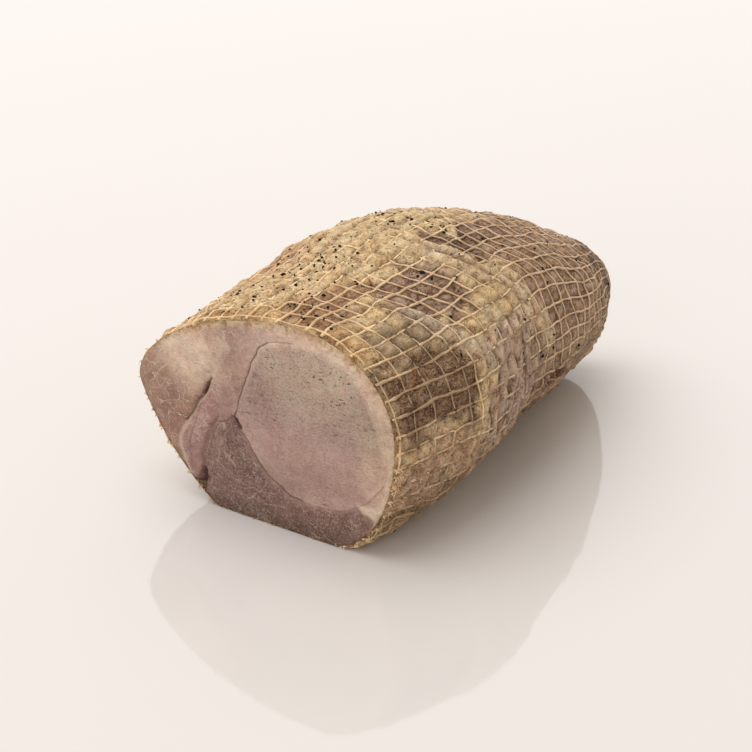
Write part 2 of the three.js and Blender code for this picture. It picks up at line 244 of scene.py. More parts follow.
# Zones of the crust: each at (mm along the net, share of the way round), with half sizes in mm.
crustLook = {
    "fat": "#ffe6b5", "pillow": 0.85, "lift": 1.15,
    # pillow: how far the crust swells between the threads
    # along and round: how strongly the lengthwise and the round threads press in
    # show: how far the threads lie open, 0 where the fat or the rough crust covers them
    # wrinkle: how strongly the crust is gathered into fine ridges that run with the round threads
    "along": 0.9, "round": 0.5, "show": 0.55, "wrinkle": 0.2,
    "snap": 0.45,         # how far a mesh of the net is all one colour
    "cellShade": 0.08,    # how much the meshes differ
    # size, seed and height in mm: how the zones' borders wander along and round, and the lumps of the crust
    "wander": [(24, 1, 13), (8, 2, 7.0)], "wanderRound": [(24, 3, 13), (8, 4, 7.0)],
    "lumps": [(32, 5, 1.6), (13, 6, 1.3), (6, 8, 0.8)],
    "zones": [
        dict(name="left side", at=(70, 0.42), half=(90, 50), soft=30, colour="#ebc494", strength=0.7,
             pillow=0.5),
        dict(name="underside", at=(90, 0.72), half=(120, 55), soft=30, colour="#a78664", strength=0.9,
             pillow=0.2,
             dust=0.3, along=0.6, round=0.6, show=0.5),
        dict(name="left shoulder", at=(40, 0.28), half=(60, 30), soft=16, colour="#ffe2b0", strength=0.7,
             pillow=0.75,
             along=0.8, round=0.35, show=0.45),
        dict(name="left side brown", at=(70, 0.345), half=(14, 15), soft=8, colour="#b48668", strength=0.7,
             pillow=0.1),
        dict(name="rim strip", at=(6, 0.22), half=(9, 55), soft=8, colour="#b3854f", strength=0.7, pillow=0.4,
             show=1.0),
        dict(name="far left", at=(165, 0.33), half=(40, 35), soft=20, colour="#e9cca2", strength=0.8,
             pillow=0.5),
        dict(name="rim window", at=(24, 0.195), half=(24, 17), soft=9, colour="#a17958", strength=0.85,
             pillow=0.05,
             along=1.0, round=0.6, show=1.0),
        dict(name="centre window", at=(62, 0.145), half=(20, 20), soft=6, colour="#ad9380", strength=0.95,
             pillow=0.0,
             along=1.0, round=0.9, show=1.0),
        dict(name="back window", at=(118, 0.170), half=(24, 17), soft=6, colour="#765740", strength=0.95,
             pillow=0.0,
             along=1.0, round=1.0, show=1.0),
        dict(name="far window", at=(168, 0.10), half=(48, 52), soft=11, colour="#b39582", strength=0.85,
             pillow=0.1,
             along=0.9, round=1.0, show=0.95),
        dict(name="dark patch", at=(29, 0.045), half=(26, 25), soft=6, colour="#997b61", strength=0.95,
             pillow=0.15,
             dust=1.0, along=0.9, round=0.9, show=0.75),
        dict(name="low side", at=(55, -0.06), half=(60, 20), soft=14, colour="#ccac93", strength=0.85,
             pillow=0.3,
             dust=0.9, along=0.5, round=0.5, show=0.15, wrinkle=1.2),
        dict(name="far low side", at=(150, -0.07), half=(42, 27), soft=14, colour="#a38574", strength=0.85,
             pillow=0.2,
             dust=0.4, along=0.6, round=0.8, show=0.6, wrinkle=0.6),
        dict(name="middle side", at=(96, 0.01), half=(26, 28), soft=12, colour="#cfb8aa", strength=0.85,
             pillow=0.45,
             dust=0.2, along=0.3, round=1.0, show=0.15, wrinkle=1.3),
        dict(name="far top edge", at=(180, 0.25), half=(40, 25), soft=16, colour="#937153", strength=0.8,
             pillow=0.3),
        dict(name="far end", at=(212, 0.02), half=(14, 220), soft=12, colour="#7e6152", strength=0.85,
             pillow=0.15,
             dust=0.3, along=0.8, round=0.8, show=0.7),
        dict(name="cream cells", at=(33, 0.118), half=(16, 11), soft=5, colour="#baa586", strength=0.9,
             pillow=1.3,
             along=1.0, round=1.0, show=0.8),
        dict(name="low edge", at=(70, -0.108), half=(90, 14), soft=9, colour="#8c6c4c", strength=0.7,
             pillow=0.2, dust=0.8,
             along=0.4, round=0.4, show=0.3, wrinkle=0.7),
        dict(name="rust spot", at=(18, 0.075), half=(2.5, 2.5), soft=2.5, colour="#a0622c", strength=0.9,
             dust=0.6),
    ],
    "bands": [   # raised folds of fat, along a path of (mm along the net, share of the way round)
        dict(path=[(84, 0.22), (92, 0.17), (104, 0.12), (118, 0.08), (128, 0.04), (134, 0.0)], half=6.5,
             height=2.2, colour="#ffe6be", strength=0.95, pillow=0.9, along=0.7, round=0.9, show=0.5, wrinkle=0.4),
        dict(path=[(38, 0.155), (50, 0.12), (60, 0.09), (80, 0.04), (100, 0.0)], half=4.2, height=1.8,
             colour="#dfccb4", strength=0.65, pillow=0.9, along=0.5, round=1.0, show=0.35, wrinkle=0.7),
    ],
    # a torn hollow with a raised lip
    "gouge": dict(at=(141, -0.037), half=(5.5, 3.5), depth=5.0, colour="#7a4c22",
                  lip=1.6, lipAt=1.7, lipHalf=0.5),
}


def netCell(ring, t):
    # middle of the mesh of the net that a place lies in, and a number of its own for each mesh
    column = (t - netLayout["threadShift"]) * netLayout["threads"]
    cellRing = np.floor(np.clip(ring, 0, netLayout["rings"] - 1.001)) + 0.5
    cellShare = (np.floor(column + 1e-6) + 0.5) / netLayout["threads"] + netLayout["threadShift"]
    own = np.modf(np.abs(np.sin(cellRing * 12.9898 + np.round((cellShare % 1) * 480) * 7.233) * 43758.5))[0]
    return ringY(cellRing, cellShare), cellShare, own


def crustFields(y, t, points, ring=None, lane=None):
    # colour, swelling of the fat, dust, height of the folds, and how deep the two sets of threads press in
    count = len(y)
    girth = hamShape["girth"]
    colour = np.tile(linear(crustLook["fat"]), (count, 1))
    levels = {name: np.full(count, crustLook[name]) for name in ("pillow", "along", "round", "show", "wrinkle")}
    levels["dust"] = np.zeros(count)
    height = np.zeros(count)
    wander, wanderRound = layered(points, crustLook["wander"]), layered(points, crustLook["wanderRound"])
    shade = 1.0
    if ring is not None:
        cellY, cellShare, own = netCell(ring, lane)
        shade = 1 + (own[:, None] * 2 - 1) * crustLook["cellShade"]
    colour *= shade

    def zoneMask(zone, atY, atShare, soft):
        dy = np.abs(atY + wander - zone["at"][0]) - zone["half"][0]
        dt = np.abs(wrapped(atShare - zone["at"][1]) * girth + wanderRound) - zone["half"][1]
        apart = np.hypot(np.maximum(dy, 0), np.maximum(dt, 0)) + np.minimum(np.maximum(dy, dt), 0)
        return 1 - smooth(-soft, soft, apart)

    def lay(mask, look):
        colour[:] += (np.array(linear(look["colour"])) * shade - colour) * mask[:, None]
        for name in levels:
            if name in look:
                levels[name] += (look[name] - levels[name]) * mask
            elif name == "dust":
                levels[name] *= 1 - mask

    for zone in crustLook["zones"]:
        mask = zoneMask(zone, y, t, zone["soft"])
        if ring is not None:
            snapped = zoneMask(zone, cellY, cellShare, max(2.0, zone["soft"] * 0.6))
            mask = mask * (1 - crustLook["snap"]) + snapped * crustLook["snap"]
        lay(mask * zone["strength"], zone)
    for band in crustLook["bands"]:
        line = alongPath([(a, b * girth) for a, b in band["path"]], 30)
        apart, where = fromLine(np.c_[y, wrapped(t) * girth], line)
        ends = smooth(0, 0.15, where) * (1 - smooth(0.85, 1, where))
        mask = (1 - smooth(0.5, 1.3, (apart + wander * 0.4) / band["half"])) * band["strength"] * ends
        lay(mask, band)
        height += np.exp(-(apart / band["half"]) ** 2) * ends * band["height"]
    gouge = crustLook["gouge"]
    apart = fromGouge(y, t)[:, None]
    colour += (np.array(linear(gouge["colour"])) - colour) * np.exp(-((apart - 1.0) / 0.8) ** 2) * 0.8
    # painted shade: the middle of the torn hollow darkened, most at its deepest
    colour *= 1 - 0.75 * np.exp(-(apart / 0.7) ** 2)
    if ring is not None:
        levels["pillow"] *= 0.6 + 0.8 * own
    colour *= np.minimum(crustLook["lift"], 0.97 / colour.max(axis=1))[:, None]
    return colour, levels, height


def fromGouge(y, t):
    gouge = crustLook["gouge"]
    return np.hypot((y - gouge["at"][0]) / gouge["half"][0],
                    wrapped(t - gouge["at"][1]) * hamShape["girth"] / gouge["half"][1])


def crustHeight(y, t, points, folds):
    # folds, lumps and the gouge, without the swelling between threads; fades to the tip
    gouge, apart = crustLook["gouge"], fromGouge(y, t)
    hole = gouge["lip"] * np.exp(-((apart - gouge["lipAt"]) / gouge["lipHalf"]) ** 2)
    hole -= gouge["depth"] * np.exp(-apart ** 2)
    return folds + layered(points, crustLook["lumps"]) * (1 - smooth(*hamShape["tipFade"], y)) + hole


def swellAt(levels, aside, ahead):
    # how far the crust stands out between the threads, 0 on a thread that presses in fully
    half = hamMesh["furrowHalf"]
    pressed = np.maximum(levels["along"] * (1 - smooth(0, half, aside)),
                         levels["round"] * (1 - smooth(0, half * 0.9, ahead)))
    return levels["pillow"] * hamMesh["swell"] * (1 - pressed)


# Lines and zones of the cut, as (x, z) in mm.
cutLook = {
    # lines: half width, depth and strength, then the path
    "seams": [   # thin and dark, between the muscles
        (0.42, 0.9, 0.6, [(-2, 107), (-8, 102), (-12, 94), (-14.6, 88), (-18, 80), (-21, 71), (-24, 61),
                        (-25.6, 58)]),
        (0.42, 0.9, 0.55, [(-21, 52), (-16, 45.6), (-11.5, 37.7), (-5, 30.6), (2.6, 26.4), (10.5, 22),
                        (20, 20.4)]),
        (0.36, 0.5, 0.3, [(20, 20.4), (31, 20.1), (42, 21.5), (51.4, 25.9), (59, 30.6), (65.5, 37), (71, 44),
                        (73.4, 53.4)]),
        (0.5, 0.25, 0.14, [(73.4, 53.4), (73, 66), (69, 80), (64, 91), (56, 100.6), (46.6, 108.4)]),
        (0.5, 0.1, 0.1, [(70, 52), (68.5, 66), (64, 80), (57, 92)]),
        (0.3, 0.3, 0.45, [(-2, 107), (6, 109.5), (16, 110.5)]),
        (0.3, 0.5, 0.5, [(-25.6, 57.8), (-31.9, 53.4), (-39, 51.9)]),
        (1.5, 0.8, 0.42, [(-36.6, 54.2), (-40.6, 49.5), (-43.7, 42.4), (-46, 36), (-48.4, 28.3),
                        (-48.4, 20.4), (-49.2, 12.6)]),
        (0.35, 0.3, 0.35, [(-33, 55), (-38, 47), (-41, 40), (-43, 30)]),
        (0.35, 0.4, 0.4, [(-46, 63), (-50, 52), (-54, 42), (-56, 30), (-54, 18)]),
    ],
    "gaps": [    # places where the muscles part: dark, open
        (1.0, 1.4, 0.65, [(-40.6, 77), (-44.5, 68.4), (-49, 61.3), (-54, 53.4), (-58.3, 47)]),
        (1.1, 4.5, 1.0, [(-42.5, 73), (-44.5, 68.4), (-46, 65.4)]),
        (1.0, 4.5, 1.0, [(-25.6, 57.4), (-23, 54.4), (-21, 52)]),
        (2.4, 6.0, 1.0, [(-47.6, 20), (-49, 14), (-51, 6)]),
    ],
    "fat": [     # pale cream lines
        (0.6, 0, 0.35, [(74.6, 54), (74.2, 66), (70.2, 80), (65.2, 91.5), (57, 101.5), (47, 109.2)]),
        (0.5, 0, 0.25, [(66, 40), (70, 52), (70, 64), (66, 78), (59, 90)]),
        (0.5, 0, 0.18, [(54, 34), (61, 46), (62, 60), (58, 74)]),
        (1.1, 0, 0.3, [(-5, 103), (-11, 94), (-16, 84), (-21, 72), (-25, 62)]),
        (1.7, 0, 0.6, [(-30, 106), (-31, 99.8), (-33.5, 92.7), (-36, 86.4), (-38, 80), (-41, 75)]),
        (2.6, 0, 0.7, [(-34, 101), (-31, 99), (-27, 97)]),
        (1.5, 0, 0.6, [(-42, 70), (-46, 63), (-52.4, 55.4), (-57, 46.6), (-61, 38.7), (-62, 30.6), (-60, 25),
                        (-56, 16)]),
        (0.42, 0, 0.42, [(-29.6, 48.7), (-34.3, 41), (-36, 33), (-36.6, 30), (-32, 26), (-29.6, 22.8),
                        (-24, 21.2), (-17.8, 20.4), (-8.4, 19.2), (1, 19.6)]),
        (0.9, 0, 0.5, [(-33, 36), (-28, 33), (-24, 29)]),
        (0.7, 0, 0.4, [(-27.5, 36), (-28, 33), (-29, 30)]),
        (0.5, 0, 0.5, [(-64, 88), (-68, 80), (-74, 74), (-80, 66)]),
        (0.4, 0, 0.5, [(-70, 84), (-62, 76), (-58, 68), (-59, 60)]),
        (0.4, 0, 0.45, [(-84, 60), (-76, 62), (-70, 70)]),
        (0.4, 0, 0.35, [(-70, 56), (-62, 58), (-56, 52)]),
        (0.35, 0, 0.35, [(-20, 60), (-16, 52), (-13, 44)]),
        (0.4, 0, 0.3, [(-24, 86), (-27, 78), (-24, 70), (-28, 64)]),
        (0.35, 0, 0.35, [(-38, 66), (-32, 62), (-27, 60)]),
        (0.3, 0, 0.3, [(8, 14), (-6, 13), (-20, 14), (-32, 18)]),
    ],
    "lobe": [(-29.6, 125), (-29.6, 99.8), (-32.7, 92.7), (-36, 86.4), (-38, 80), (-41.4, 72.3), (-46, 63),
             (-52.4, 53.4), (-57, 45.6), (-61, 37.7), (-62, 30.6), (-60, 25), (-58, 0), (-120, 0), (-120, 125)],
    "colours": dict(strip="#b8938a", round="#d6b6aa", lobe="#b08a76", lower="#9f7b70"),
    "rimColours": dict(low="#7f5c3c", high="#e3c99f"),
    "spots": [   # broad changes of colour; the pale ones high on the left, on top and on the right are painted light from above
        dict(at=(-56, 90), half=(27, 26), colour="#f6dfc4", strength=1.0),
        dict(at=(-24, 92), half=(9, 24), colour="#b6937f", strength=0.7),
        dict(at=(30, 98), half=(46, 30), colour="#ffe6cb", strength=1.0),
        dict(at=(70, 66), half=(15, 40), colour="#ebd0b4", strength=0.9),
        dict(at=(20, 35), half=(40, 16), colour="#bb9f90", strength=0.5),
        dict(at=(-40, 50), half=(8, 30), colour="#b8958a", strength=0.5),
        dict(at=(-74, 60), half=(16, 24), colour="#a8826c", strength=0.5),
        dict(at=(-10, 22), half=(30, 14), colour="#937267", strength=0.6),
        dict(at=(50, 10), half=(26, 10), colour="#8f6e5e", strength=0.6),
        dict(at=(0, 3), half=(70, 7), colour="#745740", strength=0.7),
    ],
    "pocketColour": "#f5e0c8",
    "fatPocket": [(53.7, 29), (60, 31), (68, 33), (73, 42), (77, 50), (78, 40), (75, 28), (69, 19), (66.5, 21),
                  (64, 24)],
    "hidden": "#a8806e",
    "borders": dict(lower=2.2, lobe=2.5, round=1.0),   # how softly the colours of the muscles meet, in mm
    # size, seed and height of what is uneven: the muscles' borders both ways, the cloudy colour, the surface
    "warp": [[(7, 11, 0.8), (2.2, 13, 0.3)], [(7, 12, 0.8), (2.2, 14, 0.3)]],
    "cloud": [(14, 41, 0.18), (5, 42, 0.16), (2.4, 43, 0.16)],
    "uneven": [(26, 17, 0.5), (8, 18, 0.18)],
    "dome": 1.6, "domeReach": 10,   # the muscles stand out between seams deeper than pullsFrom
    "pullsFrom": 0.45,
}
# the muscles are bounded by the seams
left, under, right, edge = (path for *_, path in cutLook["seams"][:4])
cutLook["round"] = left[:-1] + under + right[1:] + edge[1:] + [(20, 112)]
cutLook["lower"] = [left[-1], (-31.9, 53.4), (-39, 51.9), (-43.7, 42.4), (-46, 36), (-48.4, 28.3),
                    (-49.2, 12.6), (-49, -5), (100, -5), (75, 20), (62, 27), *right[4:0:-1], *under[::-1]]
print("shape and zones set out")


def addNode(tree, kind, *given, out=None, **named):
    # adds a node and returns its output: a word sets how it works, a list its colour stops, and what else is
    # given fills its inputs in order; a name is one of its properties or, with _ for a space, of its inputs
    node = tree.nodes.new("ShaderNode" + kind)
    if kind == "Mix":
        node.data_type = "RGBA"
    filled = []
    for value in given:
        if isinstance(value, list):
            marks = node.color_ramp.elements
            while len(marks) < len(value):
                marks.new(0.5)
            for mark, (place, shade) in zip(marks, value):
                mark.position = place
                mark.color = (*(linear(shade) if isinstance(shade, str) else (shade,) * 3), 1)
        elif isinstance(value, str) and value[0] != "#":
            setattr(node, "blend_type" if kind == "Mix" else "operation", value)
        else:
            filled.append(value)
    for name in [name for name in named if hasattr(node, name)]:
        setattr(node, name, named.pop(name))
    sockets = [node.inputs[name.replace("_", " ")] for name in named]
    sockets += [socket for socket in node.inputs if socket.enabled][:len(filled)]
    for socket, value in zip(sockets, [*named.values(), *filled]):
        if isinstance(value, bpy.types.NodeSocket):
            tree.links.new(value, socket)
        else:
            socket.default_value = (*linear(value), 1) if isinstance(value, str) else value
    return node.outputs[out] if out else next((socket for socket in node.outputs if socket.enabled), None)


def newMaterial(name):
    material = bpy.data.materials.new(name)
    material.use_nodes = True
    material.node_tree.nodes.clear()
    return material, partial(addNode, material.node_tree)


def finer(size):
    return 1000 / size  # texture scale, per metre, for features of that size in mm


# Smoked crust: fat and lean dried and browned in the smoke. Satin fat, matt lean, wrinkled skin with brown
# creases, painted shade in the furrows beside the threads, painted highlights on the raised patches, and a grain
# of dried juice and spice over it all, with painted shade in the grain's low places.
crustFinish = {
    "broad": 16, "patch": 4.5, "grain": 1.3, "grit": 1.5, "crease": 7, "fibre": 1.9, "spot": 2.6,   # mm
    "fibreDraw": 0.28,   # the fibres are drawn out along the ham
    "ior": 1.42, "specular": 0.4, "soft": 0.08, "softDepth": (1.0, 0.5, 0.25), "softScale": 0.001,
    "relief": 0.0038,
}


def smokedCrust():
    look = crustFinish
    material, add = newMaterial("smokedCrust")
    place = add("TexCoord", out="Object")
    tone = add("Attribute", attribute_name="tone", out="Color")
    dust, furrow, fat = (add("Attribute", attribute_name=name, out="Fac") for name in ("dust", "furrow", "fat"))
    broad = add("TexNoise", Vector=place, Scale=finer(look["broad"]), Detail=4, Roughness=0.6)
    patchy = add("TexNoise", Vector=place, Scale=finer(look["patch"]), Detail=5, Roughness=0.65, Distortion=0.6)
    fine = add("TexNoise", Vector=place, Scale=finer(look["grain"]), Detail=3, Roughness=0.7)
    grit = add("TexVoronoi", Vector=place, Scale=finer(look["grit"]), Randomness=1, out="Distance")
    # wrinkles: thin bent lines where a noise crosses its middle value, deep on the lean and faint on the fat
    bent = add("TexNoise", Vector=place, Scale=finer(look["crease"]), Detail=3, Roughness=0.6, Distortion=1.2)
    crease = add("Math", "ABSOLUTE", add("Math", "SUBTRACT", bent, 0.5))
    creased = add("Math", "MULTIPLY", add("ValToRGB", crease, [(0, 1), (0.028, 0)]),
                  add("ValToRGB", patchy, [(0.45, 1), (0.58, 0.1)]))
    creased = add("Math", "MULTIPLY", creased, add("Math", "MULTIPLY_ADD", fat, -0.5, 1.0))
    # lean: fibres drawn out along the ham, some pale and some dark
    drawn = add("Mapping", Vector=place, Scale=(1, look["fibreDraw"], 1))
    fibre = add("TexNoise", Vector=drawn, Scale=finer(look["fibre"]), Detail=4, Roughness=0.65, Distortion=0.5)
    lean = add("Math", "SUBTRACT", 1.0, add("ValToRGB", fat, [(0.05, 0), (0.5, 1)]))
    spot = add("TexNoise", Vector=place, Scale=finer(look["spot"]), Detail=2, Roughness=0.5)
    tint = tone
    for pattern, stops, amount, colour, how in (
        (broad, [(0.36, 0.55), (0.62, 0)], None, "#f3dfc6", "MULTIPLY"),
        (patchy, [(0.36, 0.55), (0.5, 0)], None, "#e6cfae", "MULTIPLY"),
        (fibre, [(0.36, 1), (0.52, 0)], lean, "#bb9a80", "MULTIPLY"),
        (fibre, [(0.54, 0), (0.7, 0.5)], lean, "#d9c0a4", "MIX"),
        # darker where the fine grain is low: the grain's own colour and painted shade in its hollows
        (fine, [(0.34, 0.9), (0.46, 0)], add("Math", "MULTIPLY_ADD", dust, 0.55, 0.45), "#b3967a", "MULTIPLY"),
        # painted highlight: lightens the raised patches of the crust
        (patchy, [(0.56, 0), (0.72, 0.3)], None, "#f1e3c6", "MIX"),
        (None, None, creased, "#8f6a48", "MULTIPLY"),
        (spot, [(0.60, 0), (0.66, 0.8)], add("Math", "MULTIPLY_ADD", dust, 0.75, 0.1), "#7b5a3c", "MULTIPLY"),
        # painted shade: darkens the furrows beside the threads
        (patchy, [(0.3, 1), (0.66, 0.45)], furrow, "#6b472b", "MULTIPLY"),
        (grit, [(0.14, 0.7), (0.3, 0)], dust, "#cbb896", "MIX"),
    ):
        share = amount
        if pattern:
            share = add("ValToRGB", pattern, stops)
            share = add("Math", "MULTIPLY", share, amount) if amount else share
        tint = add("Mix", share, tint, colour, how)
    relief = add("Math", "MULTIPLY_ADD", patchy, 1.0, add("Math", "MULTIPLY", fine, 0.5))
    relief = add("Math", "SUBTRACT", relief, add("Math", "MULTIPLY", add("Math", "MULTIPLY", dust, grit), 0.5))
    relief = add("Math", "SUBTRACT", relief, add("Math", "MULTIPLY", creased, 0.35))
    relief = add("Math", "MULTIPLY_ADD", add("Math", "MULTIPLY", fibre, lean), 0.6, relief)
    add("OutputMaterial", add(
        "BsdfPrincipled", Base_Color=tint, Roughness=add("Math", "MULTIPLY_ADD", fine, 0.4, 0.36),
        IOR=look["ior"], Specular_IOR_Level=look["specular"], Subsurface_Weight=look["soft"],
        Subsurface_Radius=look["softDepth"], Subsurface_Scale=look["softScale"],
        Normal=add("Bump", Height=relief, Distance=look["relief"], Strength=1.0)))
    return material


# Cooked cured meat, sliced: moist satin, grained across the muscle with painted shade and highlights on the grain,
# with browned seams, threads of fat, small nicks torn by the knife and a browned edge of fat.
cutFields = ("seam", "fatLine", "rim", "marbled", "granular")
cutFinish = {
    "broad": 22, "patch": 5, "grain": 1.3, "nick": 1.2, "where": 17, "bend": 9,   # sizes in mm
    "veins": ((12, 0.02, 0.95), (6, 0.02, 0.4)),   # size of the mesh in mm, width as a share of it, strength
    "bendBy": 0.016,     # metres
    "ior": 1.42, "specular": 0.55, "soft": 0.12, "softDepth": (1.0, 0.4, 0.25), "softScale": 0.0015,
    "relief": 0.0024,
}


def cutMeat():
    look = cutFinish
    material, add = newMaterial("cutMeat")
    place = add("TexCoord", out="Object")
    tone = add("Attribute", attribute_name="tone", out="Color")
    seam, fatLine, rim, marbled, granular = (
        add("Attribute", attribute_name=name, out="Fac") for name in cutFields)
    broad = add("TexNoise", Vector=place, Scale=finer(look["broad"]), Detail=3, Roughness=0.55, Distortion=0.4)
    patchy = add("TexNoise", Vector=place, Scale=finer(look["patch"]), Detail=5, Roughness=0.6, Distortion=0.8)
    fine = add("TexNoise", Vector=place, Scale=finer(look["grain"]), Detail=3, Roughness=0.65)
    flat = add("Mapping", Vector=place, Scale=(0.3, 1, 1))
    dash = add("TexNoise", Vector=flat, Scale=finer(look["nick"]), Detail=2, Roughness=0.5, Distortion=0.3)
    where = add("TexNoise", Vector=place, Scale=finer(look["where"]), Detail=1)
    grain = add("Math", "MULTIPLY_ADD", granular, 0.7, 0.3)
    nick = add("Math", "MULTIPLY", add("ValToRGB", dash, [(0.33, 1), (0.36, 0)]),
               add("ValToRGB", where, [(0.46, 0), (0.53, 1)]))
    nick = add("Math", "MULTIPLY", nick, add("Math", "MULTIPLY_ADD", granular, 0.8, 0.2))
    tint = add("Mix", add("ValToRGB", broad, [(0.38, 0.6), (0.6, 0)]), tone, "#efdddc", "MULTIPLY")
    tint = add("Mix", add("ValToRGB", patchy, [(0.36, 0.4), (0.55, 0)]), tint, "#ddc6c0", "MULTIPLY")
    tint = add("Mix", add("ValToRGB", patchy, [(0.55, 0), (0.7, 0.18)]), tint, "#d6beac")
    # veins of fat: a net of thin bent lines in the marbled muscles, fainter and darker in the round one
    bending = add("TexNoise", Vector=place, Scale=finer(look["bend"]), Detail=3, Roughness=0.6, out="Color")
    bending = add("VectorMath", "SCALE", add("VectorMath", "SUBTRACT", bending, (0.5,) * 3), look["bendBy"])
    bentPlace = add("VectorMath", "ADD", place, bending)
    for size, width, amount in look["veins"]:
        vein = add("TexVoronoi", feature="DISTANCE_TO_EDGE", Vector=bentPlace, Scale=finer(size), Randomness=1,
                   out="Distance")
        shown = add("Math", "MULTIPLY", add("ValToRGB", vein, [(0, amount), (width, 0)]),
                    add("ValToRGB", where, [(0.40, 0), (0.52, 1)]))
        tint = add("Mix", add("Math", "MULTIPLY", shown, marbled), tint, "#ecd8c6")
        faint = add("Math", "MULTIPLY", shown, add("Math", "MULTIPLY_ADD", marbled, -0.3, 0.3))
        tint = add("Mix", faint, tint, "#8e6d60")
    for one, other, colour, how in (
        # the next two rows are painted shade in the low places of the fine grain and painted highlights on its
        # high places
        (add("ValToRGB", fine, [(0.34, 0.6), (0.47, 0)]), grain, "#c4a698", "MULTIPLY"),
        (add("ValToRGB", fine, [(0.52, 0), (0.64, 0.5)]), grain, "#f0dfd0", "MIX"),
        (nick, 0.85, "#63483d", "MIX"),
        (fatLine, add("Math", "MULTIPLY_ADD", fine, 1.2, 0.4), "#dfc9b2", "MIX"),
        (rim, add("ValToRGB", patchy, [(0.42, 0.7), (0.58, 0)]), "#c8a47c", "MULTIPLY"),
        (seam, add("Math", "MULTIPLY_ADD", fine, 1.0, 0.4), "#6d4c42", "MIX"),
    ):
        tint = add("Mix", add("Math", "MULTIPLY", one, other), tint, colour, how)
    relief = add("Math", "MULTIPLY_ADD", add("Math", "MULTIPLY", fine, grain), 2.6,
                 add("Math", "MULTIPLY", patchy, 0.8))
    relief = add("Math", "MULTIPLY_ADD", add("Math", "MULTIPLY", dash, grain), 0.7, relief)
    relief = add("Math", "SUBTRACT", relief, add("Math", "MULTIPLY", nick, 0.8))
    add("OutputMaterial", add(
        "BsdfPrincipled", Base_Color=tint, Roughness=add("Math", "MULTIPLY_ADD", fine, 0.3, 0.24),
        IOR=look["ior"], Specular_IOR_Level=look["specular"], Subsurface_Weight=look["soft"],
        Subsurface_Radius=look["softDepth"], Subsurface_Scale=look["softScale"],
        Normal=add("Bump", Height=relief, Distance=look["relief"], Strength=1.0)))
    return material


# Cotton thread, stained by smoke and fat: matt, pale on the fat and browner over the lean. The fibres are drawn
# coarser than real cotton so that they show.
def stainedCotton():
    material, add = newMaterial("stainedCotton")
    place = add("TexCoord", out="Object")
    tint = add("Attribute", attribute_name="tone", out="Color")
    patchy = add("TexNoise", Vector=place, Scale=finer(5), Detail=4, Roughness=0.65)
    fibre = add("TexNoise", Vector=place, Scale=finer(0.5), Detail=2, Roughness=0.6)
    tint = add("Mix", add("ValToRGB", patchy, [(0.35, 0.7), (0.55, 0)]), tint, "#dfc4a0", "MULTIPLY")
    tint = add("Mix", add("ValToRGB", fibre, [(0.38, 0.6), (0.5, 0)]), tint, "#cdb08a", "MULTIPLY")
    add("OutputMaterial", add(
        "BsdfPrincipled", Base_Color=tint, Roughness=0.78, IOR=1.5, Specular_IOR_Level=0.3, Sheen_Weight=0.15,
        Sheen_Roughness=0.5, Normal=add("Bump", Height=fibre, Distance=0.0003, Strength=0.7)))
    return material


# Cracked black pepper: dark wrinkled skin with grey broken sides.
def crackedPepper():
    material, add = newMaterial("crackedPepper")
    grain = add("TexNoise", Vector=add("TexCoord", out="Object"), Scale=finer(0.9), Detail=3, Roughness=0.7)
    tint = add("ValToRGB", grain, [(0.4, "#0c0907"), (0.6, "#1f1813"), (0.78, "#4a3c2e")])
    add("OutputMaterial", add(
        "BsdfPrincipled", Base_Color=tint, Roughness=0.85, IOR=1.48, Specular_IOR_Level=0.25,
        Normal=add("Bump", Height=grain, Distance=0.0004, Strength=0.8)))
    return material


# Glossy white laminate under the ham: gives the faint blurred reflection.
def paleLaminate():
    material, add = newMaterial("paleLaminate")
    add("OutputMaterial", add("BsdfPrincipled", Base_Color="#d5d1cd", Roughness=0.05, IOR=1.5))
    return material


def giveAttribute(mesh, name, values, kind="FLOAT"):
    layer = mesh.attributes.get(name) or mesh.attributes.new(name, kind, "POINT")
    if kind == "FLOAT_COLOR":
        flat = np.c_[values, np.ones(len(values))].astype(np.float32).ravel()
        layer.data.foreach_set("color", flat)
    else:
        layer.data.foreach_set("value", np.asarray(values, np.float32))


def readAttribute(mesh, name):
    values = np.empty(len(mesh.vertices), np.float32)
    mesh.attributes[name].data.foreach_get("value", values)
    return values.astype(float)


def readTone(mesh):
    values = np.empty(4 * len(mesh.vertices), np.float32)
    mesh.attributes["tone"].data.foreach_get("color", values)
    return values.reshape(-1, 4)[:, :3].astype(float)


def places(mesh):
    flat = np.empty(3 * len(mesh.vertices), np.float32)
    mesh.vertices.foreach_get("co", flat)
    return flat.reshape(-1, 3).astype(float)


def setPlaces(mesh, points):
    mesh.vertices.foreach_set("co", np.asarray(points, np.float32).ravel())
    mesh.update()


def triangleCount(piece):
    return sum(len(face.vertices) - 2 for face in piece.data.polygons)


def editAll(piece, *steps):
    # runs edit-mode operators on all of a piece
    bpy.ops.object.mode_set(mode="EDIT")
    bpy.ops.mesh.select_all(action="SELECT")
    for step, settings in steps:
        step(**settings)
    bpy.ops.object.mode_set(mode="OBJECT")


def onlyActive(piece):
    bpy.ops.object.select_all(action="DESELECT")
    piece.select_set(True)
    bpy.context.view_layer.objects.active = piece


hamMesh = {
    "columns": 336,       # seven to each mesh of the net
    "rowsPerRing": 6,
    "faceRows": 48, "faceSpread": 0.9,   # rows of the cut, closer together at its edge
    "rimRound": 0.9,      # rounding of the edge of the cut
    "tipRows": 6, "capRows": 5, "capBulge": 2.0,
    "swell": 2.2,         # how far the fat stands out between the threads
    "wrinkle": 1.3,       # height of the fine ridges
    "furrowHalf": 2.8,    # from a thread to where the fat is at its fullest
    "shadeAlong": 1.8, "shadeRound": 1.6,   # half width of the painted shade in the furrows
    "ridges": [(3.4, 51, 1), (1.9, 52, 0.5)],
    "weld": 0.001,        # in mm, as the mesh is made at that scale
    "refine": ((1.1, 0.0), (0.35, 0.45)),   # reach beside the lines of the cut, and the faintest line it's for
}


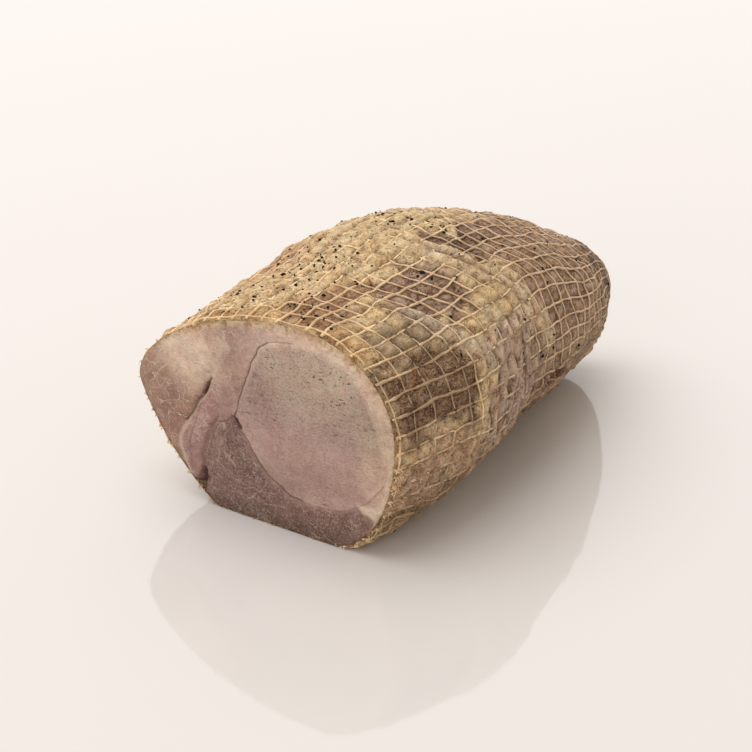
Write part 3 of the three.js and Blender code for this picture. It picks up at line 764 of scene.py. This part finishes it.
def hamRows():
    # every row of the mesh from the middle of the cut over the rim to the far tip
    count, spread = hamMesh["faceRows"], hamMesh["faceSpread"]
    face = [("face", 1 - (j / count) ** spread) for j in range(count + 1)]
    rim = [("rim", a) for a in (0.33, 0.67, 1.0)]
    count = (netLayout["rings"] - 1) * hamMesh["rowsPerRing"]
    side = [("side", s / hamMesh["rowsPerRing"]) for s in range(count + 1)]
    tip = [("tip", (j + 1) / hamMesh["tipRows"]) for j in range(hamMesh["tipRows"])]
    cap = [("cap", (j + 1) / hamMesh["capRows"]) for j in range(hamMesh["capRows"])]
    return face + rim + side + tip + cap


def meshCell(ring, t, y):
    # millimetres to the nearest thread of the net, lengthwise or round
    column = (t - netLayout["threadShift"]) * netLayout["threads"]
    width = np.interp(y, np.arange(len(girths)), girths) / netLayout["threads"]
    aside = np.abs(column - np.round(column)) * width
    ahead = np.abs(ring - np.round(ring)) * netLayout["ringStep"]
    return aside, ahead


def buildHam():
    rows = hamRows()
    columns = hamMesh["columns"]
    bpy.ops.object.select_all(action="DESELECT")
    bpy.ops.mesh.primitive_grid_add(x_subdivisions=columns, y_subdivisions=len(rows) - 1, size=1)
    ham = bpy.context.object
    ham.name = ham.data.name = "hamMeat"
    t = np.arange(columns + 1) / columns + netLayout["threadShift"]
    inset = hamMesh["rimRound"]
    edge = onSkin(0, t)
    middle = edge[:-1].mean(axis=0)
    toMiddle = middle - edge
    reach = np.linalg.norm(toMiddle, axis=1, keepdims=True)
    inner = edge + toMiddle / reach * inset
    points, kinds, rings, shares, lengths, lanes = [], [], [], [], [], []
    lastSide = None
    for kind, value in rows:
        ring = np.full(columns + 1, -1.0)
        y = np.zeros(columns + 1)
        at = t
        if kind == "face":
            row = inner + (middle - inner) * value
        elif kind == "rim":
            angle = value * math.pi / 2
            row = edge + toMiddle / reach * inset * (1 - math.sin(angle))
            y = np.full(columns + 1, inset * (1 - math.cos(angle)))
            row = row + np.c_[np.zeros(columns + 1), y, np.zeros(columns + 1)]
        elif kind == "side":
            ring = np.full(columns + 1, value)
            y, at = slipped(ringY(value, t), t)
            row = onSkin(y, at)
            lastSide = y
        elif kind == "tip":
            y = lastSide + (hamShape["length"] - 0.01 - lastSide) * value
            row = onSkin(y, t)
            ring = np.full(columns + 1, netLayout["rings"] - 1.0)
            lastTip = row
        else:
            y = np.full(columns + 1, hamShape["length"])
            centre = lastTip[:-1].mean(axis=0)
            row = lastTip + (centre - lastTip) * value
            row = row + np.array([0, hamMesh["capBulge"] * math.sqrt(1 - (1 - value) ** 2), 0])
        points.append(row)
        kinds.append(np.full(columns + 1, ("face", "rim", "side", "tip", "cap").index(kind), float))
        rings.append(ring)
        shares.append(at)
        lanes.append(t)
        lengths.append(y)
    points = np.vstack(points)
    kinds, rings, shares, lengths, lanes = (np.concatenate(a) for a in (kinds, rings, shares, lengths, lanes))

    # outside: folds, lumps, and the fat swelling between the threads
    outside = kinds >= 1
    y, at, ring, lane = lengths[outside], shares[outside], np.maximum(rings[outside], 0), lanes[outside]
    base = points[outside]
    colour, levels, folds = crustFields(y, at, base, ring, lane)
    height = crustHeight(y, at, base, folds)
    aside, ahead = meshCell(ring, lane, y)
    # painted shade in the furrows beside the threads, darkest next to each thread
    furrow = np.maximum(levels["along"] * np.exp(-(aside / hamMesh["shadeAlong"]) ** 2),
                        levels["round"] * np.exp(-(ahead / hamMesh["shadeRound"]) ** 2))
    height += swellAt(levels, aside, ahead) * (1 - smooth(212, 226, y)) * smooth(0, 3, y)
    height += lumps(base, 2.8, 7) * (0.5 + 0.4 * levels["dust"])
    gathered = np.c_[ring * netLayout["ringStep"], lane * hamShape["girth"] * 0.3, np.zeros(len(base))]
    gathered = layered(gathered, hamMesh["ridges"])
    height += gathered * levels["wrinkle"] * hamMesh["wrinkle"]
    colour *= (1 + 0.5 * gathered * levels["wrinkle"])[:, None]
    height *= np.where(kinds[outside] == 1, smooth(0, 3, y), 1.0)
    moved = base + skinNormal(y, at) * height[:, None]
    moved[:, 2] = np.maximum(moved[:, 2], np.where(base[:, 2] < 0.3, 0.0, 0.02))
    points[outside] = moved
    mesh = ham.data
    tone = np.tile(linear(cutLook["hidden"]), (len(points), 1))
    tone[outside] = colour
    setPlaces(mesh, points)
    giveAttribute(mesh, "tone", tone, "FLOAT_COLOR")
    giveAttribute(mesh, "part", kinds)
    for name, values in (("dust", levels["dust"]), ("furrow", furrow), ("fat", levels["pillow"])):
        full = np.zeros(len(points))
        full[outside] = values
        giveAttribute(mesh, name, full)

    # the face of the cut gets the second material
    mesh.materials.append(materials["crust"])
    mesh.materials.append(materials["cut"])
    index = np.zeros(len(mesh.polygons), np.int32)
    index[:columns * hamMesh["faceRows"]] = 1
    mesh.polygons.foreach_set("material_index", index)

    onlyActive(ham)
    editAll(ham, (bpy.ops.mesh.remove_doubles, dict(threshold=hamMesh["weld"])))
    for reach, faintest in hamMesh["refine"]:
        refineNearSeams(ham, reach, faintest)
    shapeCut(ham)
    editAll(ham, (bpy.ops.mesh.normals_make_consistent, dict(inside=False)))
    setPlaces(mesh, (places(mesh) + toRow) * mm)
    bpy.ops.object.shade_smooth()
    return ham


def linesOf(kind):
    return [(*line, alongPath(path, 60)) for *line, path in cutLook[kind]]


def roundedLoop(name, count):
    return alongPath(cutLook[name] + cutLook[name][:1], count)[:-1]


def refineNearSeams(ham, reach, faintest):
    # smaller faces where the cut has seams, gaps and lines of fat
    mesh = ham.data
    centres = np.empty(3 * len(mesh.polygons), np.float32)
    mesh.polygons.foreach_get("center", centres)
    centres = centres.reshape(-1, 3)[:, [0, 2]].astype(float)
    index = np.empty(len(mesh.polygons), np.int32)
    mesh.polygons.foreach_get("material_index", index)
    near = np.zeros(len(centres), bool)
    for kind in ("seams", "gaps", "fat"):
        for half, _, strength, path in linesOf(kind):
            if strength >= faintest:
                near |= fromLine(centres, path)[0] < reach + half
    chosen = near & (index == 1)
    bpy.ops.object.mode_set(mode="EDIT")
    bpy.ops.mesh.select_all(action="DESELECT")
    bpy.ops.mesh.select_mode(type="FACE")
    bpy.ops.object.mode_set(mode="OBJECT")
    mesh.polygons.foreach_set("select", chosen)
    bpy.ops.object.mode_set(mode="EDIT")
    bpy.ops.mesh.subdivide(number_cuts=1)
    bpy.ops.object.mode_set(mode="OBJECT")


def shapeCut(ham):
    mesh = ham.data
    points = places(mesh)
    kinds = readAttribute(mesh, "part")
    onCut = kinds < 0.5
    flat = points[onCut][:, [0, 2]]
    spread = np.c_[flat[:, 0], np.zeros(len(flat)), flat[:, 1]]
    at = flat + np.c_[tuple(layered(spread, layers) for layers in cutLook["warp"])]
    outline = onSkin(0, np.linspace(0, 1, 256, endpoint=False))[:, [0, 2]]
    rimGap = insideOf(flat, outline)
    inRound = insideOf(at, roundedLoop("round", 160))
    inLobe = insideOf(at, np.array(cutLook["lobe"], float))
    inLower = insideOf(at, np.array(cutLook["lower"], float))
    colours = cutLook["colours"]
    colour = np.tile(linear(colours["strip"]), (len(at), 1))
    for name, inside in (("lower", inLower), ("lobe", inLobe), ("round", inRound)):
        border = cutLook["borders"][name]
        colour = tinted(colour, colours[name], smooth(-border, border, inside))
    for spot in cutLook["spots"]:
        apart = np.hypot(*((at - spot["at"]) / spot["half"]).T)
        colour = tinted(colour, spot["colour"], (1 - smooth(0.25, 1.35, apart)) * spot["strength"])
    seamed = np.zeros(len(at))
    fatted = np.zeros(len(at))
    depth = np.zeros(len(at))
    anySeam = np.full(len(at), 50.0)
    for kind in ("seams", "gaps"):
        for half, hollow, strength, path in linesOf(kind):
            apart, where = fromLine(at, path)
            half *= 0.35 + 0.65 * np.sin(np.clip(where, 0.03, 0.97) * math.pi) ** 0.4
            seamed = np.maximum(seamed, strength * (1 - smooth(0.3, 1.6, apart / half)))
            if hollow > cutLook["pullsFrom"]:
                anySeam = np.minimum(anySeam, apart)
            depth = np.maximum(depth, hollow * np.exp(-(apart / (half * 1.15)) ** 2))
    for half, _, strength, path in linesOf("fat"):
        apart, where = fromLine(at, path)
        half *= 0.4 + 0.6 * np.sin(np.clip(where, 0.05, 0.95) * math.pi) ** 0.5
        fatted = np.maximum(fatted, strength * (1 - smooth(0.4, 1.4, apart / half)))
    pocket = insideOf(at, roundedLoop("fatPocket", 60)) + lumps(spread, 3, 44) * 1.6
    colour = tinted(colour, cutLook["pocketColour"], smooth(-1.2, 1.2, pocket))
    # cloudy colour, strongest outside the round muscle
    cloud = layered(spread, cutLook["cloud"])
    colour *= 1 + (cloud * (1 - 0.55 * smooth(0, 4, inRound)))[:, None] * np.array([0.9, 1.0, 1.0])
    # rim: a band of browned fat, thick along the top and thin below
    angle = flat[:, 1] - 60
    band = 1.3 + 3.4 * smooth(20, 50, angle) + 1.2 * lumps(spread, 9, 15)
    rim = 1 - smooth(band * 0.45, band * 1.25, rimGap + lumps(spread, 2, 16) * 0.7)
    low, high = (np.array(linear(cutLook["rimColours"][name])) for name in ("low", "high"))
    colour += (low + (high - low) * smooth(-10, 30, angle)[:, None] - colour) * (rim * 0.85)[:, None]
    paleEdge = 1 - smooth(1.3, 2.6, rimGap + lumps(spread, 4, 45) * 0.6)   # a line of fat on the right
    paleEdge *= smooth(30, 55, flat[:, 0]) * smooth(8, 22, flat[:, 1])
    colour += (high - colour) * (paleEdge * 0.9)[:, None]
    dome = cutLook["dome"] * (1 - np.exp(-np.minimum(anySeam, rimGap) / cutLook["domeReach"]))
    points[onCut, 1] += depth - (dome + layered(spread, cutLook["uneven"])) * smooth(0, 6, rimGap)
    setPlaces(mesh, points)
    tone = readTone(mesh)
    tone[onCut] = colour
    giveAttribute(mesh, "tone", tone, "FLOAT_COLOR")
    high = smooth(45, 85, flat[:, 1])
    fields = {
        "seam": seamed, "fatLine": fatted, "rim": rim,
        "marbled": (0.75 + 0.25 * smooth(0, 4, inLobe)) * (1 - smooth(0, 3, inRound)),
        "granular": smooth(0, 5, inRound) * (0.12 + 0.88 * high) + 0.5 * smooth(0, 4, inLower),
    }
    for name in cutFields:
        full = np.full(len(points), 1.0 if name == "rim" else 0.0)
        full[onCut] = fields[name]
        giveAttribute(mesh, name, full)


materials = {
    "crust": smokedCrust(), "cut": cutMeat(), "net": stainedCotton(), "pepper": crackedPepper(),
    "floor": paleLaminate(),
}
hamMeat = buildHam()
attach(hamMeat, "root")
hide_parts("ham")
print("ham:", triangleCount(hamMeat), "triangles")


netLook = {
    "lengthRadius": [(0, 0.9), (45, 0.8), (90, 0.66), (227, 0.56)],   # thicker near the cut
    "ringRadius": 0.54,
    "lengthStep": 1.45, "ringStep": 2.3,   # from point to point
    "lift": 0.32, "buried": 0.85, "rise": 0.75,   # clear of the lean, sunk where hidden, carried by the fat
    "uneven": [(13, 21, 0.9), (5, 27, 0.6)],
    "bead": 2.4,          # length of one knitted stitch
    "tufts": 160, "crumbs": 130,
    "colour": "#f4dcb4", "ownColour": 0.48,
}
rng = random.Random(41)


def threadHeight(y, t, base, way):
    # over lean the thread lies on the meat; where it hardly presses in, it is sunk under the swollen fat
    _, levels, folds = crustFields(y, t, base)
    sunk = levels["pillow"] * hamMesh["swell"] * (1 - levels[way])
    uneven = layered(base, netLook["uneven"]) * (1.15 - levels["show"])
    lift = netLook["lift"] * (1 - 0.75 * np.clip(levels["pillow"], 0, 1))
    lift = lift - netLook["buried"] * (1 - levels["show"]) + sunk * netLook["rise"] + uneven
    return crustHeight(y, t, base, folds) + lift


def addThread(curve, y, t, radius, seed, way, closed=False):
    base = onSkin(y, t)
    height = threadHeight(y, t, base, way)
    path = base + skinNormal(y, t) * height[:, None]
    if not np.isscalar(radius):
        radius = np.interp(y, *zip(*radius))
    path[:, 2] = np.maximum(path[:, 2], radius * 1.35)   # clear of the table
    walked = walkedAlong(path)
    bead = 1 + 0.17 * np.cos(walked / netLook["bead"] * tau + seed) + 0.45 * lumps(base, 5, 22)
    spline = curve.splines.new("POLY")
    spline.points.add(len(path) - 1)
    flat = np.c_[(path + toRow) * mm, np.ones(len(path))].astype(np.float32)
    spline.points.foreach_set("co", flat.ravel())
    spline.points.foreach_set("radius", (radius * bead).astype(np.float32))
    spline.use_cyclic_u = closed


def addWisp(curve, start, way, lengths, radii, mostBend):
    # one loose fibre: a short curl of five points
    direction = way.normalized()
    length, radius, bend = rng.uniform(*lengths), rng.uniform(*radii), rng.uniform(-mostBend, mostBend)
    side = direction.orthogonal().normalized()
    spline = curve.splines.new("POLY")
    spline.points.add(4)
    for i, point in enumerate(spline.points):
        s = i / 4
        place = start + direction * (length * s) + side * (bend * s * s)
        place = place + Vector((0, 0, -0.25 * length * s * s))
        place.z = max(place.z, radius)
        point.co = (*((Vector(toRow) + place) * mm), 1)
        point.radius = radius * (1 - 0.6 * s)


def buildNet():
    curve = bpy.data.curves.new("netThreads", "CURVE")
    curve.dimensions = "3D"
    curve.bevel_depth = mm
    curve.bevel_resolution = 1
    curve.use_fill_caps = True
    last = hamShape["length"] - 1.5
    for i in range(netLayout["threads"]):
        t0 = i / netLayout["threads"] + netLayout["threadShift"]
        y = np.arange(0.5, last, netLook["lengthStep"])
        _, t = slipped(y, np.full(len(y), t0))
        lane = np.c_[y, np.full(len(y), i * 9.7), np.zeros(len(y))]
        addThread(curve, y, t + lumps(lane, 6, 25) * 0.0008, netLook["lengthRadius"], i, "along")
    for k in range(netLayout["rings"]):
        about = netLayout["firstRing"] + netLayout["ringStep"] * k
        count = int(np.interp(about, np.arange(len(girths)), girths) / netLook["ringStep"])
        t = np.arange(count) / count
        y, t = slipped(ringY(float(k), t), t)
        turn = np.c_[np.cos(tau * t) * 75, np.sin(tau * t) * 75, np.full(count, k * 9.1)]
        y = np.clip(y + lumps(turn, 6, 26) * 0.4, 0.4, last)
        addThread(curve, y, t, netLook["ringRadius"], k * 1.7, "round", closed=True)
    # frayed ends where the knife went through: short lumps
    for i in range(netLayout["threads"]):
        t0 = i / netLayout["threads"] + netLayout["threadShift"]
        out = Vector(skinNormal(2.0, t0))
        start = Vector(onSkin(0.6, t0)) + out * 0.4
        for _ in range(rng.randint(2, 4)):
            way = Vector((0, -1, 0)) * rng.uniform(0.1, 0.5) + out * rng.uniform(0.2, 1.0)
            way += Vector((rng.uniform(-1, 1), 0, rng.uniform(-1, 1))) * 0.8
            addWisp(curve, start, way, (0.6, 1.5), (0.22, 0.45), 0.8)
    # crumbs of crust hanging on the lower edge of the cut
    for k in range(netLook["crumbs"]):
        t0 = rng.uniform(0.46, 0.98)
        out = Vector(skinNormal(2.0, t0))
        start = Vector(onSkin(rng.uniform(0, 1.5), t0)) + out * rng.uniform(-0.8, 0.3)
        way = Vector((rng.uniform(-1, 1), rng.uniform(-1.0, 0.1), rng.uniform(-1, 1)))
        addWisp(curve, start, way, (0.5, 1.3), (0.3, 0.6), 0.8)
    # tufts pulled out of the rough low side and the lower edge of the cut
    for k in range(netLook["tufts"]):
        t0 = rng.uniform(-0.13, -0.02)
        y0 = rng.uniform(0, 4) if k % 3 == 0 else rng.uniform(0, 165)
        out = Vector(skinNormal(max(y0, 2.0), t0))
        start = Vector(onSkin(y0, t0)) + out * 0.3
        for _ in range(rng.randint(1, 3)):
            way = out * rng.uniform(0.3, 1.0)
            way += Vector((rng.uniform(-1, 1), rng.uniform(-1, 1), rng.uniform(-1, 1))) * 0.7
            addWisp(curve, start, way, (0.8, 2.8), (0.15, 0.4), 1.2)
    net = bpy.data.objects.new("netThreads", curve)
    bpy.context.scene.collection.objects.link(net)
    onlyActive(net)
    bpy.ops.object.convert(target="MESH")
    net = bpy.context.object
    bpy.ops.object.shade_smooth()
    mesh = net.data
    mesh.materials.clear()
    mesh.materials.append(materials["net"])
    # each thread takes some of the colour of the crust it lies on
    tree = kdtree.KDTree(len(hamMeat.data.vertices))
    for vertex in hamMeat.data.vertices:
        tree.insert(vertex.co, vertex.index)
    tree.balance()
    nearest = [tree.find(v.co)[1] for v in mesh.vertices]
    own = np.array(linear(netLook["colour"]))
    dusty = readAttribute(hamMeat.data, "dust")[nearest][:, None]
    share = netLook["ownColour"] * (1 - 0.8 * dusty)
    threadTone = (readTone(hamMeat.data)[nearest] * (1 - share) + own * share) * (1 - 0.1 * dusty)
    giveAttribute(mesh, "tone", threadTone, "FLOAT_COLOR")
    return net


netThreads = buildNet()
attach(netThreads, "root")
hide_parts("net")
print("net:", triangleCount(netThreads), "triangles")


pepperLook = {
    "chips": 430, "smallest": 0.5, "largest": 1.35, "big": (1.1, 1.8),
    "bigChips": [   # ring of the net and share of the way round
        (0.4, 0.16), (1.0, 0.178), (1.1, 0.19), (2.3, 0.225), (5.7, 0.205), (0.5, 0.31), (2.2, 0.29),
        (3.0, 0.325), (4.0, 0.34), (7.6, 0.257), (7.4, 0.275), (8.4, 0.27), (8.5, 0.24), (5.4, 0.30),
        (9.7, 0.31), (13.4, 0.278), (13.7, 0.24), (13.0, 0.255), (15.5, 0.165), (8.4, 0.17), (8.9, 0.172),
        (20.2, 0.145), (12.2, 0.01), (13.5, 0.03), (13.7, 0.01), (6.2, 0.11), (4.4, 0.07)],
    "clustered": 0.15, "anywhere": 0.10, "onFat": 0.9,   # chances
    "lastRing": 26.5, "fatMiddle": 0.26, "fatHalf": 0.11,
}


def addChip(source, ring, t, size, seed):
    lane, ring = np.array([t]), np.array([ring])
    y, t = slipped(ringY(ring, lane), lane)
    base = onSkin(y, t)
    _, levels, folds = crustFields(y, t, base)
    aside, ahead = meshCell(ring, lane, y)
    height = crustHeight(y, t, base, folds) + swellAt(levels, aside, ahead)
    normal = Vector(skinNormal(y, t)[0])
    centre = Vector(base[0]) + normal * (float(height[0]) + size * 0.3)
    own = random.Random(seed)
    turn = normal.to_track_quat("Z", "Y").to_matrix() @ Matrix.Rotation(own.uniform(0, tau), 3, "Z")
    points = []
    for vertex in source.vertices:
        p = Vector(vertex.co) * (size * own.uniform(0.7, 1.25))
        p.z *= 0.5
        p.y *= 0.65
        p = centre + turn @ p
        points.append(((p.x + toRow[0]) * mm, (p.y + toRow[1]) * mm, max(p.z, 0.1) * mm))
    return points


def buildPepper():
    bpy.ops.object.select_all(action="DESELECT")
    bpy.ops.mesh.primitive_ico_sphere_add(subdivisions=1, radius=1)
    seedChip = bpy.context.object
    faces = [tuple(p.vertices) for p in seedChip.data.polygons]
    chance = random.Random(7)
    smallest, largest = pepperLook["smallest"], pepperLook["largest"]
    spots = [(ring, t, chance.uniform(*pepperLook["big"])) for ring, t in pepperLook["bigChips"]]
    while len(spots) < pepperLook["chips"]:
        if chance.random() < pepperLook["clustered"]:
            near = spots[chance.randrange(len(spots))]
            ring, t = max(0.1, near[0] + chance.uniform(-1.2, 1.2)), near[1] + chance.uniform(-0.02, 0.02)
        else:
            ring, t = chance.uniform(0.1, pepperLook["lastRing"]), chance.uniform(-0.5, 0.5)
        onFat = math.exp(-((t - pepperLook["fatMiddle"]) / pepperLook["fatHalf"]) ** 2)
        onFat *= 1.0 if ring < 16 else 0.45   # less of it far back
        if chance.random() < pepperLook["anywhere"] + pepperLook["onFat"] * onFat:
            size = smallest + (largest - smallest) * chance.random() ** 2
            spots.append((ring, t, size))
    vertices, polygons = [], []
    for i, (ring, t, size) in enumerate(spots):
        first = len(vertices)
        vertices += addChip(seedChip.data, ring, t, size, i)
        polygons += [tuple(first + v for v in face) for face in faces]
    mesh = bpy.data.meshes.new("pepperFlakes")
    mesh.from_pydata(vertices, [], polygons)
    mesh.materials.append(materials["pepper"])
    flakes = bpy.data.objects.new("pepperFlakes", mesh)
    bpy.context.scene.collection.objects.link(flakes)
    bpy.data.objects.remove(seedChip)
    return flakes


pepperFlakes = buildPepper()
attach(pepperFlakes, "root")
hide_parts(*[f"pepper_{i:02d}" for i in range(1, 17)])
print("pepper:", triangleCount(pepperFlakes), "triangles")


studio = {
    "floorSize": 8.0,
    "world": "#f4eadf", "worldStrength": 0.75,
    "lights": [
        dict(name="key", at=(-1.2, -0.4, 4.2), size=5.6, power=150, colour="#f7faff"),
        dict(name="fill", at=(0.6, -3.23, 1.3), size=2.0, power=20, colour="#fdfaff"),
        dict(name="backWall", at=(-2.6, 3.67, 1.7), size=5.5, power=58, colour="#fbfbff"),
             # mirrored in the table
    ],
    "camera": dict(at=(0.6666, -0.9995, 0.594), turn=(65, 0, 35), lens=110.1, sensor=36),
}
bpy.ops.object.select_all(action="DESELECT")
bpy.ops.mesh.primitive_plane_add(size=studio["floorSize"], location=(0, 0, 0))
floor = bpy.context.object
floor.name = "floor"
floor.data.materials.append(materials["floor"])

world = bpy.data.worlds.new("softRoom")
world.use_nodes = True
world.node_tree.nodes["Background"].inputs[0].default_value = (*linear(studio["world"]), 1)
world.node_tree.nodes["Background"].inputs[1].default_value = studio["worldStrength"]
bpy.context.scene.world = world

for setup in studio["lights"]:
    light = bpy.data.lights.new(setup["name"], "AREA")
    light.shape = "DISK"
    light.size = setup["size"]
    light.energy = setup["power"]
    light.color = linear(setup["colour"])
    lamp = bpy.data.objects.new(setup["name"], light)
    lamp.location = setup["at"]
    lamp.rotation_euler = (Vector((0, 0, 0.06)) - lamp.location).to_track_quat("-Z", "Y").to_euler()
    bpy.context.scene.collection.objects.link(lamp)

view = studio["camera"]
camera = bpy.data.objects.new("camera", bpy.data.cameras.new("camera"))
camera.location = view["at"]
camera.rotation_euler = [math.radians(a) for a in view["turn"]]
camera.data.lens = view["lens"]
camera.data.sensor_width = view["sensor"]
bpy.context.scene.collection.objects.link(camera)
bpy.context.scene.camera = camera
bpy.context.scene.view_settings.view_transform = "Standard"
print("studio ready")
